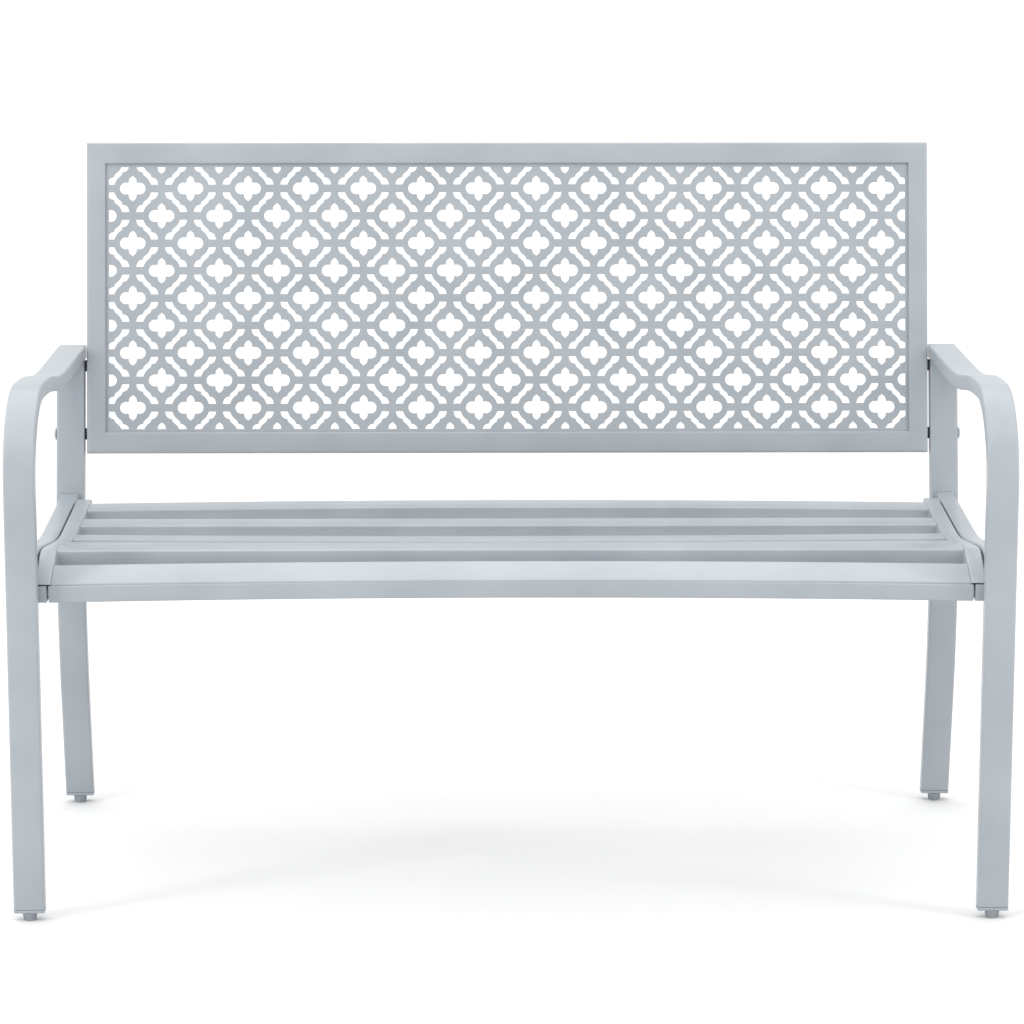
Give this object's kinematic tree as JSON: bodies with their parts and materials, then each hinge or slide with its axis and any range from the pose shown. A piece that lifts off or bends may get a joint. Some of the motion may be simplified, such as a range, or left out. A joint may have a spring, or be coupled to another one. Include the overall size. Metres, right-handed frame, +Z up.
{
  "type": "garden bench",
  "caption": "Two-seat steel garden bench with bent tube arms, a slatted contoured seat and a reclined back panel of pierced sheet.",
  "frame": {"origin": "on the floor under the middle of the bench's bounding box", "axes": "+Z up, +Y to the rear, so that a sitter looks along -Y, +X along the bench to the viewer's right as seen from the front"},
  "size_m": [1.1978, 0.6237, 0.8821],
  "materials": {
    "powder_coat": "pale blue-grey satin powder coat, fine orange peel",
    "zinc": "bright zinc plated",
    "black_rubber": "matt",
    "grey_plastic": "fine moulded grain"
  },
  "bodies": {
    "bench": {"front_leg_and_arm_left": "powder_coat", "rear_leg_left": "powder_coat", "seat_side_rail_left": "powder_coat", "front_leg_and_arm_right": "powder_coat", "rear_leg_right": "powder_coat", "seat_side_rail_right": "powder_coat", "seat_bracket_front_left": "powder_coat", "seat_bolt_front_left": "zinc", "seat_washer_front_left": "grey_plastic", "seat_bracket_front_right": "powder_coat", "seat_bolt_front_right": "zinc", "seat_washer_front_right": "grey_plastic", "seat_bracket_rear_left": "powder_coat", "seat_bolt_rear_left": "zinc", "seat_washer_rear_left": "grey_plastic", "seat_bracket_rear_right": "powder_coat", "seat_bolt_rear_right": "zinc", "seat_washer_rear_right": "grey_plastic", "seat_beam_front": "powder_coat", "seat_beam_rear": "powder_coat", "seat_end_rail_left": "powder_coat", "seat_end_rail_right": "powder_coat", "seat_slat_1_nose": "powder_coat", "seat_slat_2": "powder_coat", "seat_slat_3": "powder_coat", "seat_slat_4": "powder_coat", "seat_slat_5": "powder_coat", "seat_slat_6": "powder_coat", "back_rail_top": "powder_coat", "back_rail_bottom": "powder_coat", "back_stile_left": "powder_coat", "back_stile_right": "powder_coat", "back_pierced_sheet": "powder_coat", "back_bolt_lower_left": "powder_coat", "back_spacer_lower_left": "black_rubber", "back_insert_lower_left": "zinc", "back_bolt_lower_right": "powder_coat", "back_spacer_lower_right": "black_rubber", "back_insert_lower_right": "zinc", "back_bolt_upper_left": "powder_coat", "back_spacer_upper_left": "black_rubber", "back_insert_upper_left": "zinc", "back_bolt_upper_right": "powder_coat", "back_spacer_upper_right": "black_rubber", "back_insert_upper_right": "zinc", "arm_end_plug_left": "grey_plastic", "arm_end_plug_right": "grey_plastic", "leg_cap_front_left": "grey_plastic", "leg_cap_front_right": "grey_plastic", "leg_cap_rear_left": "grey_plastic", "leg_cap_rear_right": "grey_plastic"},
    "foot_front_left": {"foot_stud_front_left": "zinc", "foot_pad_front_left": "grey_plastic"},
    "foot_front_right": {"foot_stud_front_right": "zinc", "foot_pad_front_right": "grey_plastic"},
    "foot_rear_left": {"foot_stud_rear_left": "zinc", "foot_pad_rear_left": "grey_plastic"},
    "foot_rear_right": {"foot_stud_rear_right": "zinc", "foot_pad_rear_right": "grey_plastic"}
  },
  "joints": [
    {"name": "foot_height_front_left", "type": "slide", "parent": "bench", "child": "foot_front_left", "axis": [0, 0, -1], "range_m": [0, 0.008]},
    {"name": "foot_height_front_right", "type": "slide", "parent": "bench", "child": "foot_front_right", "axis": [0, 0, -1], "range_m": [0, 0.008]},
    {"name": "foot_height_rear_left", "type": "slide", "parent": "bench", "child": "foot_rear_left", "axis": [0, 0, -1], "range_m": [0, 0.008]},
    {"name": "foot_height_rear_right", "type": "slide", "parent": "bench", "child": "foot_rear_right", "axis": [0, 0, -1], "range_m": [0, 0.008]}
  ]
}
